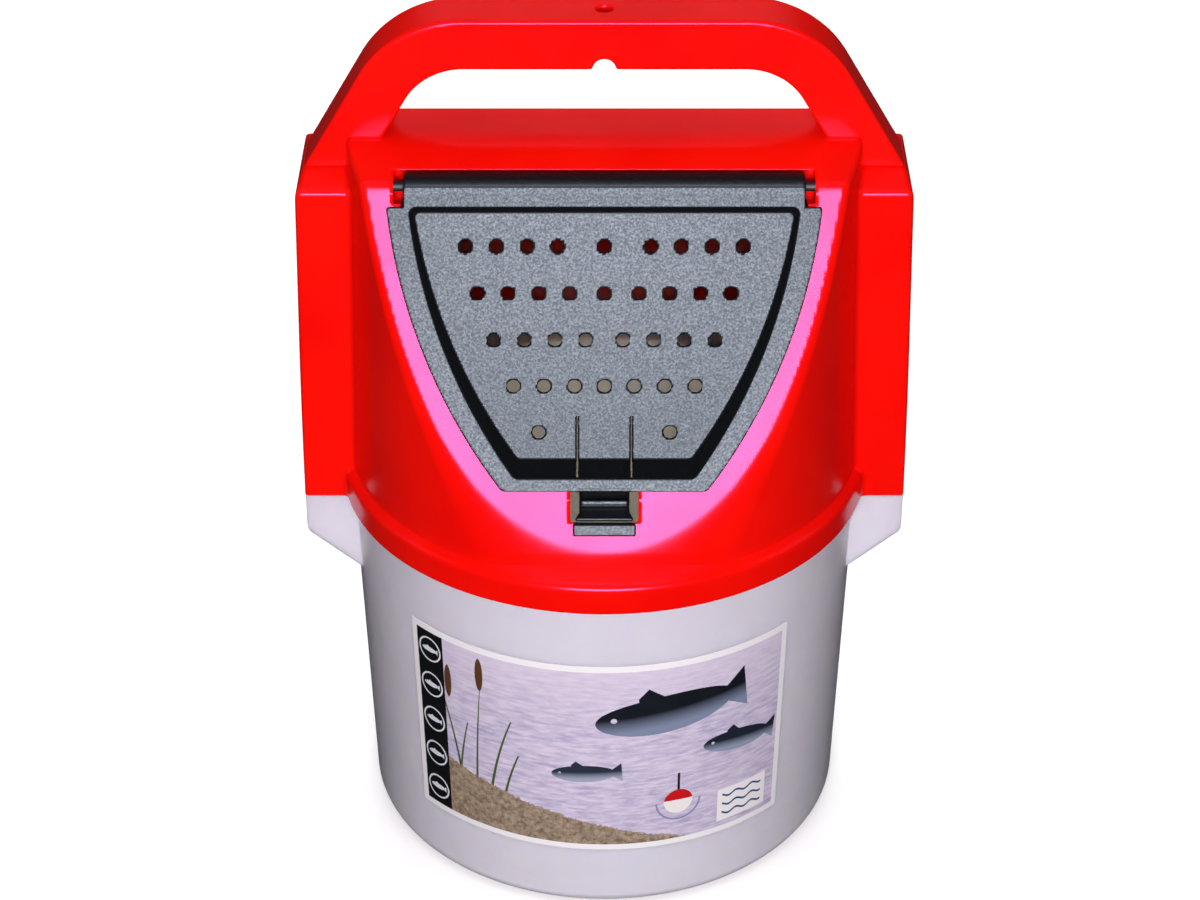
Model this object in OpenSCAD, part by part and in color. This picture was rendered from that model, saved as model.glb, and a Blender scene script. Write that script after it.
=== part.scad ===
/* [Bucket] */
// Outside radius of the bucket at its base
base_r = 106; // [98:0.5:110]
// Outside radius of the bucket where the housing sits on it
rim_r = 111.2; // [108:0.2:113]
// Height of the seam between the bucket and the housing
seam_z = 165; // [160:1:200]
// Wall thickness of the bucket
bucket_wall = 2.5; // [2:0.1:3]
// Thickness of the bucket's floor
floor_t = 3; // [2:0.5:5]
// Radius of the rounded edge round the base
base_edge_r = 7; // [4:0.5:9]
// Depth of the recess under the floor
foot_h = 1.5; // [1:0.25:3]
// Width of the ring that the bucket stands on
foot_w = 8; // [5:0.5:14]
// Height of the rim that stands up inside the housing's skirt
rim_h = 10; // [6:0.5:11]

/* [Ears] */
// Half the width of an ear and of the column over it
ear_half_y = 26.8; // [25:0.2:32]
// How far an ear reaches out from the bucket's rim
ear_reach = 18.8; // [17:0.1:24]
// Height of an ear at its outer side
ear_h_out = 17.7; // [16:0.1:22]
// Height of an ear where it meets the bucket
ear_h_in = 33.5; // [30:0.5:40]
// Radius of the rounded lower corner of an ear
ear_corner_r = 5; // [3:0.5:7]

/* [Label] */
// Height of the label's lower edge above the base
label_low = 33.2; // [25:0.2:50]
// Height of the label itself
label_h = 101.7; // [80:0.1:110]
// Angle that the label covers round the bucket
label_angle = 93.2; // [60:0.2:110]
// Angle of the label's middle from the front
label_turn = -1.6; // [-6:0.2:6]
// Thickness of the printed film
label_t = 0.3; // [0.2:0.05:0.5]

/* [Housing] */
// How far the skirt stands out from the bucket's rim
skirt_proud = 3.8; // [3.5:0.1:5.8]
// Height of the skirt, up to the crease above it
skirt_h = 15.7; // [14:0.1:17]
// Height of the sloped step above the straight part of the skirt
skirt_step_h = 3.4; // [2:0.2:5]
// Wall thickness of the housing
housing_wall = 3; // [2.6:0.1:3.4]
// How far the housing's round wall leans in between the skirt and the roof
housing_draft = 4.6; // [3:0.1:6]
// Steepness of the flat front
front_angle = 65.4; // [64.6:0.1:66]
// How far the foot of the flat front lies behind the bucket's rim
front_inset = 7.2; // [5.2:0.1:9.2]
// Height of that foot above the seam
front_foot_h = 22.8; // [22:0.2:26]
// Length of the flat front from that foot to the edge of the roof
front_len = 151.7; // [151:0.1:153]
// Slope of the roof between the flat front and the handle
roof_angle = 12.4; // [10:0.2:14]
// How far the flat part of the roof runs on behind the handle
roof_back = 3; // [2:0.1:4]
// Slope of the back
back_angle = 57.5; // [56.5:0.1:58]

/* [Columns] */
// How far the foot of a column stands out over the ear under it
column_proud = 0.8; // [0:0.1:1.5]
// How far the outer side of a column leans in on its way up
column_draft = 4.1; // [3:0.1:5]
// Height of a column above the seam, up to the foot of the handle
column_h = 153.7; // [150:0.1:156]
// Slope of the shoulders in front of the handle and behind it
shoulder_angle = 17; // [12:0.5:22]
// Radius of the rounded edge of a shoulder
shoulder_r = 4; // [2:0.5:6]

/* [Handle] */
// Front to back depth of the handle
handle_depth = 25; // [20:0.5:30]
// Height of the handle above the columns
handle_rise = 65.3; // [61.3:0.1:76]
// Thickness of the handle's band
band_t = 21.8; // [18:0.2:24]
// How far the outside of a leg's foot stands out from the bucket's rim
leg_out = 12.6; // [12:0.1:13.4]
// Outer radius of the bends
bend_r = 49.2; // [40:0.2:55]
// Slope of the legs
leg_angle = 59.7; // [58.5:0.1:61]
// Radius of the rope hole down through the bar
rope_r = 3.55; // [2.5:0.05:5]
// Radius of the notch under the bar
notch_r = 4.8; // [3.5:0.1:7]
// Distance from the middle to each seam across the top of the bar
pad_half = 38; // [25:1:50]
// Depth and width of those seams
seam_groove = 0.4; // [0.2:0.1:0.8]
// Size of a tenon along the width of the object
tenon_w = 8; // [7:0.5:9]
// Size of a tenon from front to back
tenon_d = 16; // [12:0.5:18]
// Length of a tenon down into its column
tenon_h = 19; // [15:0.5:22]

/* [Door] */
// Half the width of the door at its top
door_top_half = 88; // [86.5:0.1:89]
// Half the width of the door at its bottom
door_low_half = 42; // [38:0.5:46]
// Place of the door's lower edge, up the flat front
door_low = 26.4; // [24:0.2:28]
// Place of the door's upper edge, up the flat front
door_high = 142.4; // [141.6:0.1:143]
// How far the sides of the door bulge
door_bulge = 8.5; // [6:0.1:10]
// Thickness of the door's flange and tray
door_t = 2; // [1.6:0.1:2.4]
// Width of the flange at the sides of the tray
flange_w = 9; // [7:0.2:11]
// Width of the flange under the tray
flange_low_w = 5.3; // [4:0.1:7]
// Depth of the tray at its top
tray_d_top = 3.3; // [2.8:0.1:4]
// Depth of the tray at its bottom
tray_d_low = 9.9; // [8:0.1:11]
// How far the tray's side walls lean in
wall_lean = 2; // [1:0.1:3]
// How far the tray's lower wall leans in
wall_lean_low = 6.8; // [5:0.2:8]
// Half the length of the hinge barrel
barrel_half = 81; // [76:0.5:83]
// Radius of the hinge barrel
barrel_r = 5.5; // [5:0.1:5.8]

/* [Holes] */
// Diameter of a hole in the door
hole_d = 5.4; // [3:0.1:7]
// Distance between neighbours in a row of holes
hole_pitch = 12.5; // [10:0.1:13.5]
// Distance between rows of holes
row_pitch = 19.2; // [15:0.1:19.4]
// Place of the top row, up the flat front
row_top = 126.2; // [124:0.2:129]

/* [Hinge] */
// Place of the hinge rod, up the flat front
hinge_v = 150.6; // [150.2:0.1:151]
// Depth of the hinge rod behind the flat front
hinge_n = 3.2; // [3:0.1:3.4]
// Radius of the hinge rod
rod_r = 2.1; // [1.5:0.1:2.6]
// Half the width of the trough that the hinge lies in
trough_half = 85.1; // [84.5:0.1:86]
// How far the rod reaches into each cheek
rod_grip = 7; // [5:0.5:8]
// Thickness of the cheeks at the trough's ends
cheek_t = 10; // [9:0.5:11]

/* [Latch] */
// Half the width of the latch at its bend
latch_half = 10.3; // [8:0.1:11]
// Half the width of the thumb lip
lip_half = 12.9; // [11.5:0.1:13.2]
// Half the width of the notch in the housing
recess_half = 14.3; // [14:0.1:18]
// Place of the notch's lower edge, up the flat front
recess_low = 13; // [12:0.2:13.2]
// Width of the two slots in the tray
slot_w = 1.6; // [1:0.1:2.4]
// Place of the upper ends of the slots, up the flat front
slot_high = 56.1; // [48:0.5:60]
// Place of the latch's bend, up the flat front
bend_v = 21.5; // [21:0.1:22]
// Depth of the latch's bend behind the flat front
bend_n = 8; // [7.5:0.1:8.5]
// Radius of the pin inside the bend
knuckle_r = 1.3; // [1:0.05:1.5]
// Thickness of the latch lever
lever_t = 1.6; // [1.2:0.1:1.8]
// Length of the thumb lip
lip_l = 4.8; // [3:0.1:6]

/* [Floats and screws] */
// Height of a float
float_h = 108; // [80:1:110]
// Height of a float's lower end above the seam
float_low = 21; // [20:0.5:23]
// Distance of the ear screws from the bucket's rim
ear_screw_out = 8.3; // [7.3:0.1:8.8]
// Radius of a screw's shank
screw_r = 1.7; // [1.5:0.05:2]
// Radius of a screw's head
screw_head_r = 3.3; // [3:0.1:3.6]
// Height of a screw's head
screw_head_h = 2.4; // [1.8:0.1:3]

/* [Fits] */
// Gap round each pin that turns
running_gap = 0.06; // [0.03:0.01:0.1]
// Gap between fixed pieces that slide together
seat_gap = 0.3; // [0.2:0.05:0.5]
// Gap between the closed door and the housing
door_gap = 0.3; // [0.2:0.05:0.5]
// Gap round the door's tray in its window
window_gap = 1.4; // [1:0.1:2]

/* [Hidden] */
$fn = 96;

// Cuts run past their faces by over, solids meet by skin, and far is past everything
skin = 0.01;
over = 1;
far = 400;

// Radius of the moulded corner between the bucket's floor and its wall
mould_r = 4;

// What follows the radius of the bucket's rim
ear_out_x = rim_r + ear_reach;
skirt_r = rim_r + skirt_proud;
front_y = rim_r - front_inset;
ear_screw_x = rim_r + ear_screw_out;

// How far the ears and the columns reach into the round walls, before these are cut out
ear_sink = 8;
column_sink = 12;

// Radius of the bucket's outside at height z
function cone_r(z) = base_r + (rim_r - base_r) * z / seam_z;

// The flat front's own directions: v goes up the front, n goes out of it
front_z = seam_z + front_foot_h;
function front_at(v, n) = [
    -front_y + v * cos(front_angle) - n * sin(front_angle),
    front_z + v * sin(front_angle) + n * cos(front_angle)
];

// The housing's side outline
ridge_y = handle_depth / 2;
roof_edge = front_at(front_len, 0);
roof_z = roof_edge[1] + (-ridge_y - roof_edge[0]) * tan(roof_angle);
skirt_top = seam_z + skirt_h;
ledge_z = seam_z + rim_h + seat_gap;

// Radius of the housing's round wall at height z, above the skirt
function wall_r(z) = rim_r - housing_draft * (z - skirt_top) / (roof_z - skirt_top);

// The handle's bends and legs
column_top = seam_z + column_h;
handle_top = column_top + handle_rise;
bend_z = handle_top - bend_r;
inner_bend_r = bend_r - band_t;
function leg_reach(z, r) = (r - (z - bend_z) * cos(leg_angle)) / sin(leg_angle);
bar_half = rim_r + leg_out - leg_reach(column_top, bend_r);
function leg_x(z, r) = bar_half + leg_reach(z, r);

// The columns: upright at the foot, then leaning in to the line of the legs
column_foot_h = 8;
column_cap_t = 8;
column_foot_z = seam_z + column_foot_h;
column_low_x = ear_out_x + column_proud;
column_side_x = column_low_x - column_draft;
column_side_z = bend_z
    + (bend_r - (column_side_x - bar_half) * sin(leg_angle)) / cos(leg_angle);
function column_x(z) = column_low_x
    - column_draft * max(z - column_foot_z, 0) / (column_side_z - column_foot_z);
column_inner_x = rim_r - column_sink;
socket_top = column_top - column_cap_t;

// The tenons stand a little inside the middle of the columns, their screws below their middle
tenon_shift = 1;
tenon_screw_drop = 3;
tenon_x = (rim_r + column_side_x) / 2 - tenon_shift;
handle_screw_z = column_top - tenon_h / 2 - tenon_screw_drop;

// The door's tray: its mouth lies in the face of the flange, its floor is tilted
face_n = door_gap + door_t;
mouth_top_half = door_top_half - flange_w;
mouth_low_half = door_low_half - flange_low_w;
mouth_low = door_low + flange_low_w;
mouth_bulge = 0.9 * door_bulge;
floor_bulge = mouth_bulge - 1;
lean_share = 0.8;
floor_high = door_high - wall_lean;
floor_low = mouth_low + wall_lean_low;
tray_tilt = atan((tray_d_low - tray_d_top) / (floor_high - floor_low));
window_grow = door_t + window_gap;

// The rows of holes: first hole beside the middle, holes a side, one in the middle
row_first = [18.8, 14, 7.6, 12.2, 26.9];
row_count = [4, 4, 4, 3, 1];
row_middle = [true, true, false, true, false];

// The hinge trough, with room for the barrel to turn
trough_room = 1.2;
trough_room_high = 1;
trough_floor = hinge_n + barrel_r + trough_room;
trough_low = door_high + trough_room;
trough_high = hinge_v + barrel_r + trough_room_high;
rod_bed_half = trough_half + rod_grip + seat_gap;

// The latch, drawn in the plane of v and n
bend_at = [bend_v, -bend_n];
lip_n = 2 * door_gap;
lever_foot = 1;
leg_foot = 0.8;
lever_end = [recess_low + lever_foot, lip_n + lever_t / 2];
leg_end = [door_low + leg_foot, door_gap + door_t / 2];
leg_t = 1.2;
socket_t = 1.1;
socket_r = knuckle_r + running_gap;
socket_out_r = socket_r + socket_t;

// The mouth of the lever's socket, open towards the leg through the whole flex
flex = 12;
mouth_half = 36;
mouth_room = 0.8;
mouth_r = socket_out_r + mouth_room;
leg_way = leg_end - bend_at;
leg_turn = atan2(leg_way[1], leg_way[0]);

// The bead that snaps behind the notch's edge, between two places along the lever
hook_from = 0.3;
hook_to = 0.6;
hook_reach = 0.5;
hook_tip = [recess_low + door_gap, -housing_wall - hook_reach];

// Where the lever widens to its thumb lip
lever_high = bend_v + 5;
widen_high = recess_low + 4;
widen_low = recess_low - 0.5;

// The bosses and the screws in them
boss_r = 5;
boss_sink = 0.3;
boss_room = 2;
head_depth = 12;
head_sink = 0.2;
hex_share = 0.7;
ear_screw_y = ear_half_y - bucket_wall - boss_r + boss_sink;
head_seat_z = seam_z - head_depth;
ear_screw_l = 26;
back_seat_y = ear_half_y - screw_head_h - head_sink;
handle_screw_l = back_seat_y + tenon_d / 4;
screw_gap = 0.05;
rod_seat_gap = 0.02;

// Points of an arc round c from angle a to angle b
function arc(c, r, a, b, steps) = [
    for (i = [0:steps]) let (t = a + (b - a) * i / steps) c + r * [cos(t), sin(t)]
];

// A side that bulges by h, from p down to q
function side(p, q, h, steps = 10) =
    let (along = (q - p) / norm(q - p), out = [-along[1], along[0]])
    let (half = norm(q - p) / 2, r = (half * half + h * h) / (2 * h), turn = asin(half / r))
    let (centre = (p + q) / 2 + out * (h - r))
    [for (i = [0:steps]) let (t = turn * (1 - 2 * i / steps))
        centre + out * r * cos(t) - along * r * sin(t)];

// A closed outline that narrows downwards between two bulging sides
function shield(top_half, high, low_half, low, bulge) =
    let (right = side([top_half, high], [low_half, low], bulge))
    concat(right, [for (i = [len(right) - 1:-1:0]) [-right[i][0], right[i][1]]]);

// A straight bar of thickness t between p and q
function bar_points(p, q, t) =
    let (d = (q - p) / norm(q - p), s = [-d[1], d[0]] * t / 2)
    [p + s, q + s, q - s, p - s];

module on_front() {
    translate([0, -front_y, front_z]) rotate([front_angle, 0, 0]) children();
}

// A flat shape in the plane of Y and Z, with a width along X
module across(half) {
    rotate([90, 0, 90]) linear_extrude(2 * half, center = true) children();
}

// A flat shape in the plane of X and Z, with a depth along Y
module along_y(half) {
    rotate([90, 0, 0]) linear_extrude(2 * half, center = true) children();
}

module both_sides() {
    children();
    mirror([1, 0, 0]) children();
}

module front_and_back() {
    children();
    mirror([0, 1, 0]) children();
}

// The hinge's axis and the latch bend's axis, both along X
module on_hinge() {
    on_front() translate([0, hinge_v, -hinge_n]) rotate([0, 90, 0]) children();
}

module on_bend() {
    on_front() translate([0, bend_v, -bend_n]) rotate([0, 90, 0]) children();
}

module ear_screw_places() {
    both_sides() front_and_back() translate([ear_screw_x, ear_screw_y, 0]) children();
}

// Along the handle screws, from the back towards the front
module handle_screw_places() {
    both_sides() translate([tenon_x, 0, handle_screw_z]) rotate([-90, 0, 0]) children();
}

// The outline of the right ear, moved in by t
module ear_outline(t) {
    slope = atan((ear_h_in - ear_h_out) / (ear_out_x - rim_r));
    out = ear_out_x - t;
    r = ear_corner_r - min(t, ear_corner_r - 1);
    reach = r * tan((90 - slope) / 2);
    low = seam_z - ear_h_out - t * tan(slope) + t / cos(slope);
    inner_x = rim_r - ear_sink;
    top = seam_z + (t > 0 ? over : 0);
    turn = arc([out - r, low + reach], r, slope - 90, 0, 6);
    foot = [inner_x, low - (out - inner_x) * tan(slope)];
    polygon(concat([foot], turn, [[out, top], [inner_x, top]]));
}

module bucket_outside() {
    edge_x = cone_r(base_edge_r) - base_edge_r;
    edge = arc([edge_x, base_edge_r], base_edge_r, -90, 0, 8);
    rim = [[rim_r, seam_z], [rim_r, seam_z + rim_h], [0, seam_z + rim_h]];
    rotate_extrude() polygon(concat([[0, 0]], edge, rim));
}

module bucket_inside() {
    low = foot_h + floor_t;
    low_r = cone_r(low) - bucket_wall;
    turn = arc([low_r - mould_r, low + mould_r], mould_r, -90, 0, 6);
    in_r = rim_r - bucket_wall;
    top = [[in_r, seam_z], [in_r, seam_z + rim_h + over], [0, seam_z + rim_h + over]];
    rotate_extrude() polygon(concat([[0, low]], turn, top));
}

module bucket_body() {
    difference() {
        union() {
            bucket_outside();
            both_sides() along_y(ear_half_y) ear_outline(0);
        }
        bucket_inside();
        both_sides() difference() {
            along_y(ear_half_y - bucket_wall) ear_outline(bucket_wall);
            cylinder(r = rim_r, h = far);
        }
        translate([0, 0, -over]) cylinder(r = base_r - base_edge_r - foot_w, h = foot_h + over);
    }
}

module bucket_shell() {
    color("#e6e3e8") difference() {
        union() {
            bucket_body();
            intersection() {
                ear_screw_places() cylinder(r = boss_r, h = seam_z);
                both_sides() along_y(ear_half_y) ear_outline(0);
            }
        }
        ear_screw_places() cylinder(r = screw_head_r + seat_gap, h = head_seat_z);
        ear_screw_places() cylinder(r = screw_r + screw_gap, h = seam_z + over);
    }
}

module label() {
    high = label_low + label_h;
    in_low = cone_r(label_low) + skin;
    in_high = cone_r(high) + skin;
    color("#c9c4dc") rotate([0, 0, -90 - label_angle / 2 + label_turn])
        rotate_extrude(angle = label_angle) polygon([
            [in_low, label_low], [in_low + label_t, label_low],
            [in_high + label_t, high], [in_high, high]
        ]);
}

// The outline of the housing from the side, moved in by t
module housing_side(t) {
    back_y = ridge_y + roof_back - t * tan(back_angle / 2);
    polygon([
        front_at(-seam_z, -t),
        front_at(front_len - t * tan((front_angle - roof_angle) / 2), -t),
        [-ridge_y + t * tan(roof_angle / 2), roof_z - t],
        [back_y, roof_z - t],
        [back_y + far / 2 / tan(back_angle), roof_z - t - far / 2]
    ]);
}

// The housing's round wall, moved in by t: upright behind the skirt, then leaning in
module round_wall(t, low, high) {
    translate([0, 0, low]) cylinder(r = rim_r - t, h = skirt_top - low);
    translate([0, 0, skirt_top])
        cylinder(r1 = rim_r - t, r2 = wall_r(high) - t, h = high - skirt_top);
}

module housing_blank(t, low) {
    intersection() {
        round_wall(t, low, roof_z + over);
        across(far / 2) housing_side(t);
    }
}

module skirt() {
    translate([0, 0, seam_z]) cylinder(r = skirt_r, h = skirt_h - skirt_step_h);
    translate([0, 0, skirt_top - skirt_step_h])
        cylinder(r1 = skirt_r, r2 = rim_r, h = skirt_step_h);
}

// The outline of a column from the side, with its rounded shoulders
module column_side() {
    edge_z = column_top - (ear_half_y - ridge_y) * tan(shoulder_angle);
    reach = shoulder_r * tan((90 - shoulder_angle) / 2);
    turn = arc([ear_half_y - shoulder_r, edge_z - reach], shoulder_r, 0, 90 - shoulder_angle, 6);
    half = concat([[ear_half_y, seam_z]], turn, [[ridge_y, column_top]]);
    polygon(concat(half, [for (i = [len(half) - 1:-1:0]) [-half[i][0], half[i][1]]]));
}

module column() {
    difference() {
        intersection() {
            along_y(far / 2) polygon([
                [column_inner_x, seam_z], [column_low_x, seam_z], [column_low_x, column_foot_z],
                [column_side_x, column_side_z], [leg_x(column_top, bend_r), column_top],
                [column_inner_x, column_top]
            ]);
            across(far / 2) column_side();
        }
        round_wall(over, 0, roof_z);
    }
}

// The space inside the right column between two heights, moved in by t from the walls
module column_space(low, high, t) {
    wall = housing_wall + t;
    difference() {
        along_y(ear_half_y - wall) polygon([
            [column_inner_x, low], [column_x(low) - wall, low],
            [column_x(column_foot_z) - wall, max(low, column_foot_z) + skin],
            [column_x(high) - wall, high], [column_inner_x, high]
        ]);
        round_wall(-t, 0, roof_z);
        cylinder(r = skirt_r + t, h = skirt_top);
    }
}

module trough_block() {
    wall = housing_wall;
    half = trough_half + cheek_t;
    low = door_high - trough_room_high;
    intersection() {
        on_front() translate([-half, low, -trough_floor - wall])
            cube([2 * half, trough_high + wall - low, far / 8]);
        housing_blank(0, seam_z);
    }
}

module housing_shell() {
    difference() {
        union() {
            skirt();
            housing_blank(0, seam_z);
            both_sides() column();
        }
        housing_blank(housing_wall, ledge_z);
        translate([0, 0, seam_z - over]) cylinder(r = rim_r + seat_gap, h = ledge_z - seam_z + over);
        both_sides() column_space(seam_z - over, socket_top, 0);
    }
}

module housing_bosses() {
    intersection() {
        translate([0, 0, seam_z]) ear_screw_places() cylinder(r = boss_r, h = float_low - boss_room);
        both_sides() column();
    }
    handle_screw_places() translate([0, 0, tenon_d / 2 + 2 * seat_gap])
        cylinder(r = boss_r, h = ear_half_y - tenon_d / 2 - 2 * seat_gap - skin);
}

module window() {
    outline = shield(
        mouth_top_half + window_grow, door_high + window_grow,
        mouth_low_half + window_grow, mouth_low - window_grow, mouth_bulge
    );
    on_front() translate([0, 0, -trough_floor - 2 * housing_wall])
        linear_extrude(far / 8) polygon(outline);
    on_front() translate([-recess_half, recess_low, -2 * housing_wall])
        cube([2 * recess_half, mouth_low - recess_low, 4 * housing_wall]);
}

module trough() {
    on_front() translate([-trough_half, trough_low, -trough_floor])
        cube([2 * trough_half, trough_high - trough_low, far / 8]);
    on_hinge() cylinder(r = rod_r + rod_seat_gap, h = 2 * rod_bed_half, center = true);
}

module top_housing() {
    color("#e0200f") difference() {
        union() {
            housing_shell();
            trough_block();
            housing_bosses();
        }
        trough();
        window();
        both_sides() translate([tenon_x, 0, column_top])
            cube([tenon_w + 2 * seat_gap, tenon_d + 2 * seat_gap, 2 * tenon_h], center = true);
        ear_screw_places() cylinder(r = screw_r + screw_gap, h = head_seat_z + ear_screw_l + over);
        handle_screw_places() {
            cylinder(r = screw_r + screw_gap, h = far / 4);
            translate([0, 0, back_seat_y]) cylinder(r = screw_head_r + seat_gap, h = far / 8);
        }
    }
}

// The outline of the handle's right half, from the middle of the bar to the foot
module handle_half() {
    outer = arc([bar_half, bend_z], bend_r, 90, 90 - leg_angle, 10);
    inner = arc([bar_half, bend_z], inner_bend_r, 90 - leg_angle, 90, 10);
    polygon(concat(
        [[-over, handle_top]], outer,
        [[leg_x(column_top, bend_r), column_top], [leg_x(column_top, inner_bend_r), column_top]],
        inner, [[-over, handle_top - band_t]]
    ));
}

module handle() {
    color("#e0200f") difference() {
        union() {
            difference() {
                both_sides() along_y(ridge_y) handle_half();
                round_wall(-seat_gap, 0, roof_z);
            }
            both_sides() translate([tenon_x, 0, column_top - tenon_h / 2 + over / 2])
                cube([tenon_w, tenon_d, tenon_h + over], center = true);
        }
        translate([0, 0, roof_z + over]) cylinder(r = rope_r, h = handle_top);
        translate([0, 0, handle_top - band_t])
            rotate([90, 0, 0]) cylinder(r = notch_r, h = 2 * handle_depth, center = true);
        both_sides() translate([pad_half, 0, handle_top])
            cube([seam_groove, 2 * handle_depth, 2 * seam_groove], center = true);
        handle_screw_places() translate([0, 0, back_seat_y - handle_screw_l - over])
            cylinder(r = screw_r + screw_gap, h = far / 4);
    }
}

module hinge_rod() {
    color("#8c8c90") on_hinge() cylinder(r = rod_r, h = 2 * (trough_half + rod_grip), center = true);
}

// On the tray's floor: y runs up the floor from its upper edge, z out of it
module on_floor() {
    on_front() translate([0, floor_high, face_n - tray_d_top])
        rotate([tray_tilt, 0, 0]) children();
}

// The tray's outside or, at grow = 0, its hollow: a mouth joined to a tilted floor
module tray(grow) {
    top_n = grow > 0 ? door_gap + skin : face_n + skin;
    mouth = shield(
        mouth_top_half + grow, door_high + grow, mouth_low_half + grow, mouth_low - grow, mouth_bulge
    );
    base = shield(
        mouth_top_half - wall_lean + grow * lean_share, floor_high + grow * lean_share,
        mouth_low_half - wall_lean / 2 + grow * lean_share, floor_low - grow * lean_share,
        floor_bulge
    );
    count = len(mouth);
    points = concat(
        [for (p = base) [p[0], p[1], face_n - tray_d_top + (p[1] - floor_high) * tan(tray_tilt) - grow]],
        [for (p = mouth) [p[0], p[1], top_n]]
    );
    walls = [for (i = [0:count - 1]) let (j = (i + 1) % count)
        each [[i, j + count, i + count], [i, j, j + count]]];
    on_front() polyhedron(points, concat(
        [[for (i = [count - 1:-1:0]) i]], [[for (i = [0:count - 1]) i + count]], walls
    ));
}

module door_holes() {
    for (row = [0:len(row_first) - 1]) {
        y = row_top - row * row_pitch - floor_high;
        xs = concat(
            row_middle[row] ? [0] : [],
            [for (k = [0:row_count[row] - 1], s = [-1, 1]) s * (row_first[row] + k * hole_pitch)]
        );
        for (x = xs)
            on_floor() translate([x, y, -2 * door_t]) cylinder(d = hole_d, h = 4 * door_t);
    }
}

module latch_slots() {
    low = mouth_low + door_gap;
    both_sides() on_front() translate([latch_half, low, -2 * tray_d_low])
        cube([slot_w, slot_high - low, 2 * tray_d_low + over]);
}

module door_panel() {
    leaf = hinge_v - door_high + over;
    color("#2b2b2d") {
        difference() {
            union() {
                on_front() translate([0, 0, door_gap]) linear_extrude(door_t)
                    polygon(shield(door_top_half, door_high, door_low_half, door_low, door_bulge));
                on_front() translate([-barrel_half, door_high - over, door_gap])
                    cube([2 * barrel_half, leaf, door_t]);
                on_hinge() cylinder(r = barrel_r, h = 2 * barrel_half, center = true);
                tray(door_t);
            }
            tray(0);
            on_hinge() cylinder(r = rod_r + running_gap, h = 3 * barrel_half, center = true);
            door_holes();
            latch_slots();
        }
        on_front() across(latch_half) polygon(bar_points(leg_end, bend_at, leg_t));
        on_bend() cylinder(r = knuckle_r, h = 2 * latch_half, center = true);
    }
}

module lever_bar() {
    run = lever_end - bend_at;
    on_bend() cylinder(r = socket_out_r, h = 2 * lip_half, center = true);
    on_front() across(lip_half) polygon(bar_points(bend_at, lever_end, lever_t));
    on_front() across(lip_half) polygon([bend_at + hook_from * run, hook_tip, bend_at + hook_to * run]);
    on_front() translate([-lip_half, lever_end[0] - lip_l - lever_t, lip_n])
        cube([2 * lip_half, lip_l + lever_t + door_gap, lever_t]);
}

module latch_lever() {
    color("#2b2b2d") intersection() {
        difference() {
            lever_bar();
            on_bend() cylinder(r = socket_r, h = 3 * lip_half, center = true);
            on_front() across(2 * lip_half) translate(bend_at)
                polygon(concat([[0, 0]],
                    arc([0, 0], mouth_r, leg_turn - mouth_half, leg_turn + mouth_half + flex, 6)));
        }
        on_front() translate([0, 0, -far / 8]) linear_extrude(far / 4) polygon([
            [-latch_half, lever_high], [-latch_half, widen_high],
            [-lip_half, widen_low], [-lip_half, 0],
            [lip_half, 0], [lip_half, widen_low],
            [latch_half, widen_high], [latch_half, lever_high]
        ]);
    }
}

module float_block() {
    low = seam_z + float_low;
    color("#efe9d8") column_space(low, low + float_h, 2 * seat_gap);
}

module left_float() {
    mirror([1, 0, 0]) float_block();
}

module right_float() {
    float_block();
}

module screw(length) {
    color("#b9bcc0") {
        cylinder(r = screw_r, h = length);
        translate([0, 0, -screw_head_h]) difference() {
            cylinder(r = screw_head_r, h = screw_head_h + skin);
            translate([0, 0, -over])
                cylinder(r = hex_share * screw_r, h = over + screw_head_h / 2, $fn = 6);
        }
    }
}

module ear_screws() {
    translate([0, 0, head_seat_z]) ear_screw_places() screw(ear_screw_l);
}

module handle_screws() {
    handle_screw_places() translate([0, 0, back_seat_y]) mirror([0, 0, 1]) screw(handle_screw_l);
}

bucket_shell();
label();
top_housing();
handle();
hinge_rod();
door_panel();
latch_lever();
left_float();
right_float();
ear_screws();
handle_screws();
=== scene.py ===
"""An aerated bait bucket: a milky polyethylene pail under a glossy red housing with a perforated door."""

import math

import bpy
import numpy as np
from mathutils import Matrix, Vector


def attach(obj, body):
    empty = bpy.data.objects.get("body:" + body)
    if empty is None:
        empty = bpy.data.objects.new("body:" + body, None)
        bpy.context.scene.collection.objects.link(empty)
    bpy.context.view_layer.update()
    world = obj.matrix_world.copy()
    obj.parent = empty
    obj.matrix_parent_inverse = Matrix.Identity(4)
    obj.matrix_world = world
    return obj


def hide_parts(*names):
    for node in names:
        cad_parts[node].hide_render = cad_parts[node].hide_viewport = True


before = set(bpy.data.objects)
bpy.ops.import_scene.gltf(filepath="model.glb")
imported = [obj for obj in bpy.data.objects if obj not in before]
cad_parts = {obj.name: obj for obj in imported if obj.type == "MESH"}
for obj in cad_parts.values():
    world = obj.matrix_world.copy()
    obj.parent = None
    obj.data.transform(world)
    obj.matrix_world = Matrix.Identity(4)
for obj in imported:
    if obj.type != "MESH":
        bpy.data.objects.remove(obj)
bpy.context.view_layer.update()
MM = 0.001


# Materials


def linear(hex_colour):
    """An sRGB hex colour as Blender's linear RGBA."""
    parts = [int(hex_colour[i : i + 2], 16) / 255 for i in (1, 3, 5)]
    return [c / 12.92 if c <= 0.04045 else ((c + 0.055) / 1.055) ** 2.4 for c in parts] + [1.0]


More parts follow.
